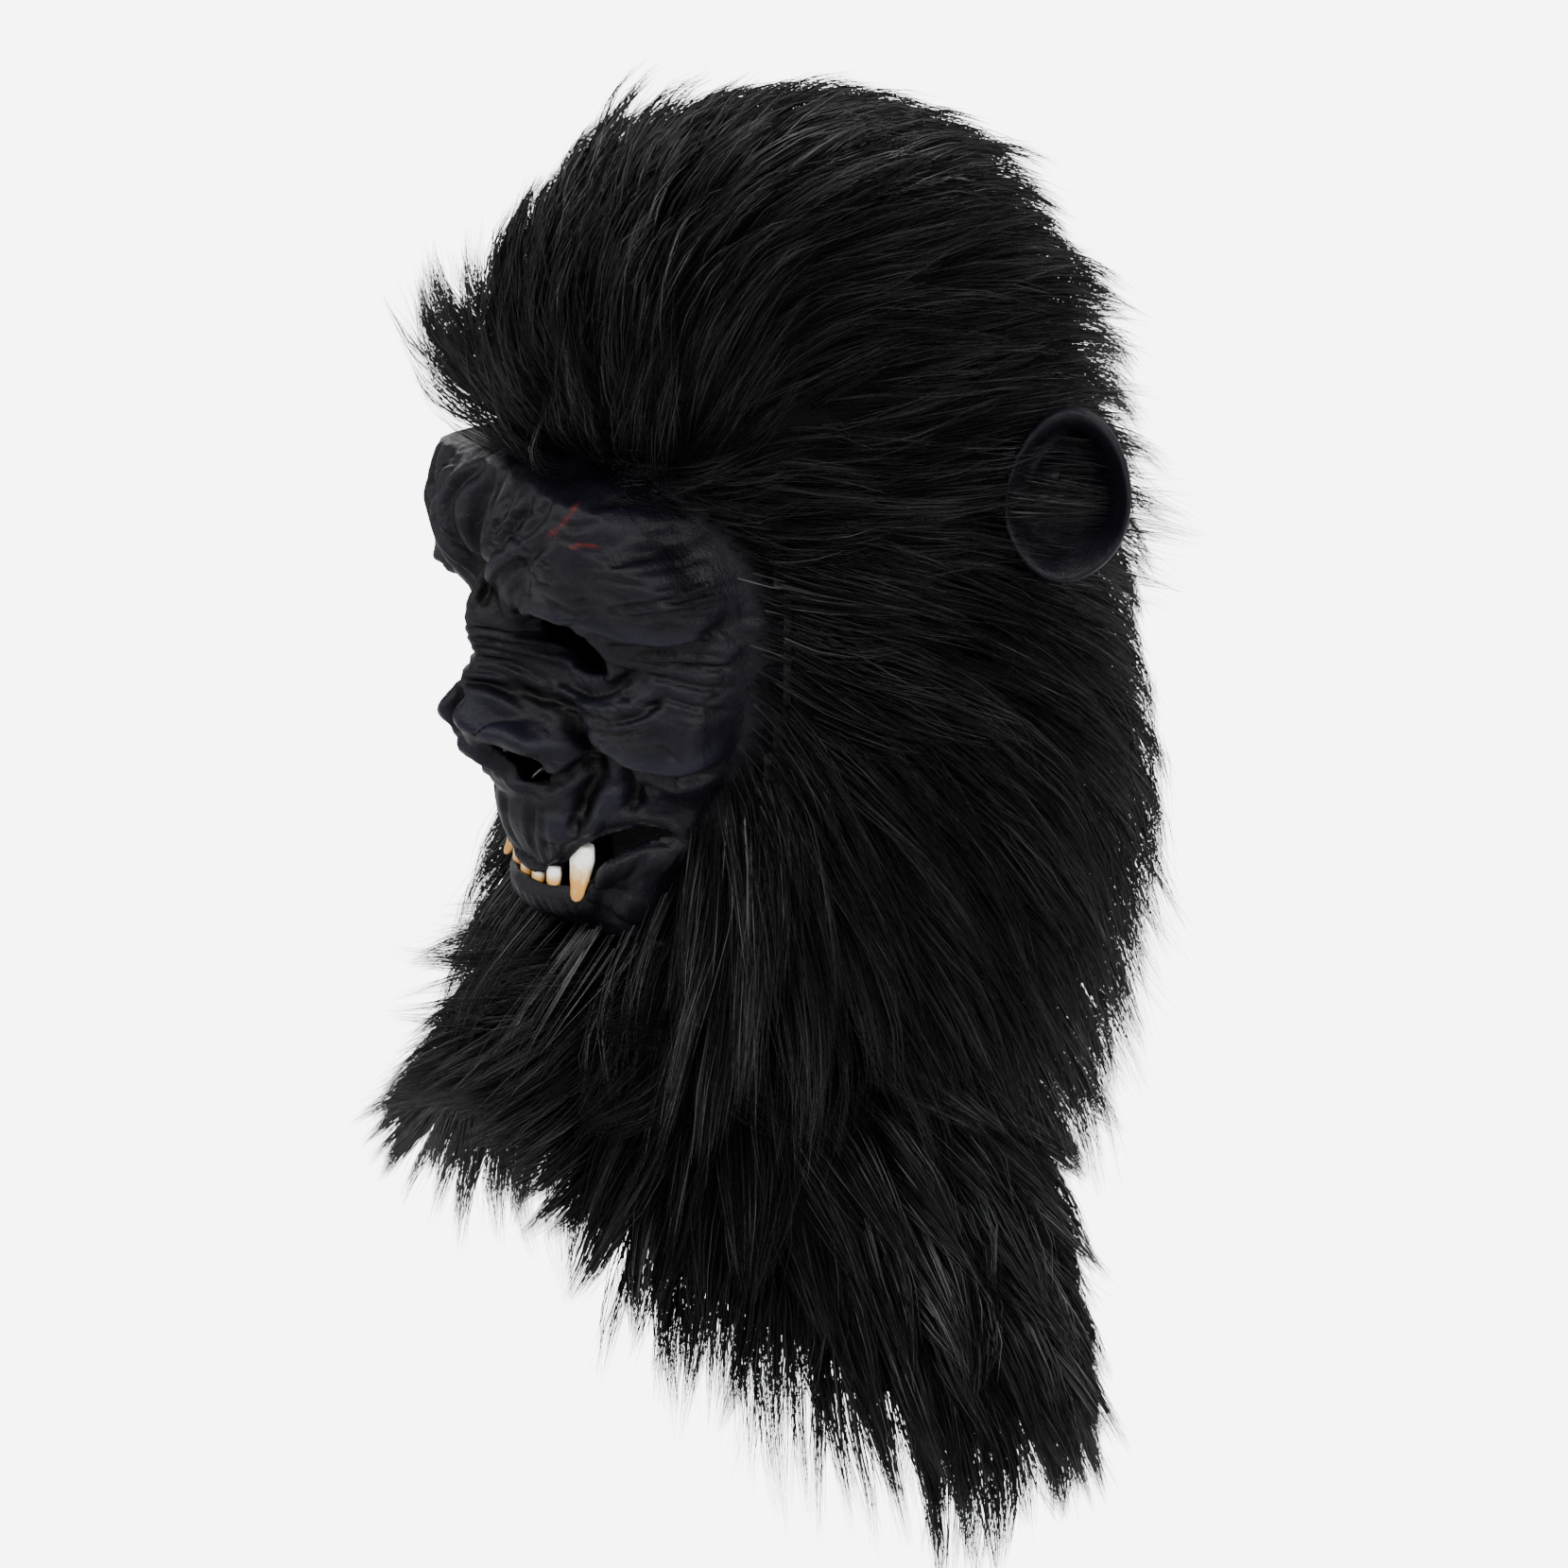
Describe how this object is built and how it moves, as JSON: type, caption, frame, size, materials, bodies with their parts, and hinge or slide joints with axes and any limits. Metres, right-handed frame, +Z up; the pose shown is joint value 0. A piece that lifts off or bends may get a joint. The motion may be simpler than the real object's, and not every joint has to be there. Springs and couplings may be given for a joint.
{
  "type": "gorilla mask",
  "caption": "Full-head gorilla mask: a dark latex face with open eyes, nostrils and mouth, teeth and ears, on a black long-pile fur hood with a flared fur bib.",
  "frame": {"origin": "inside top of the crown, where the mask rests on a head", "axes": "+Z up, the face looks along -Y, +X is the wearer's left"},
  "size_m": [0.3218, 0.2836, 0.5625],
  "materials": {
    "latex": "satin, charcoal",
    "tooth": "ivory, amber at the tip",
    "cloth": "knitted backing",
    "fur": "long black pile with a soft sheen"
  },
  "bodies": {
    "root": {"latex_face": "latex", "ear_left": "latex", "ear_right": "latex", "canine_left": "tooth", "canine_right": "tooth", "incisor_1": "tooth", "incisor_2": "tooth", "incisor_3": "tooth", "incisor_4": "tooth", "hood_cloth": "cloth", "bib_cloth": "cloth", "hood_fur": "fur", "bib_fur": "fur"}
  },
  "joints": []
}
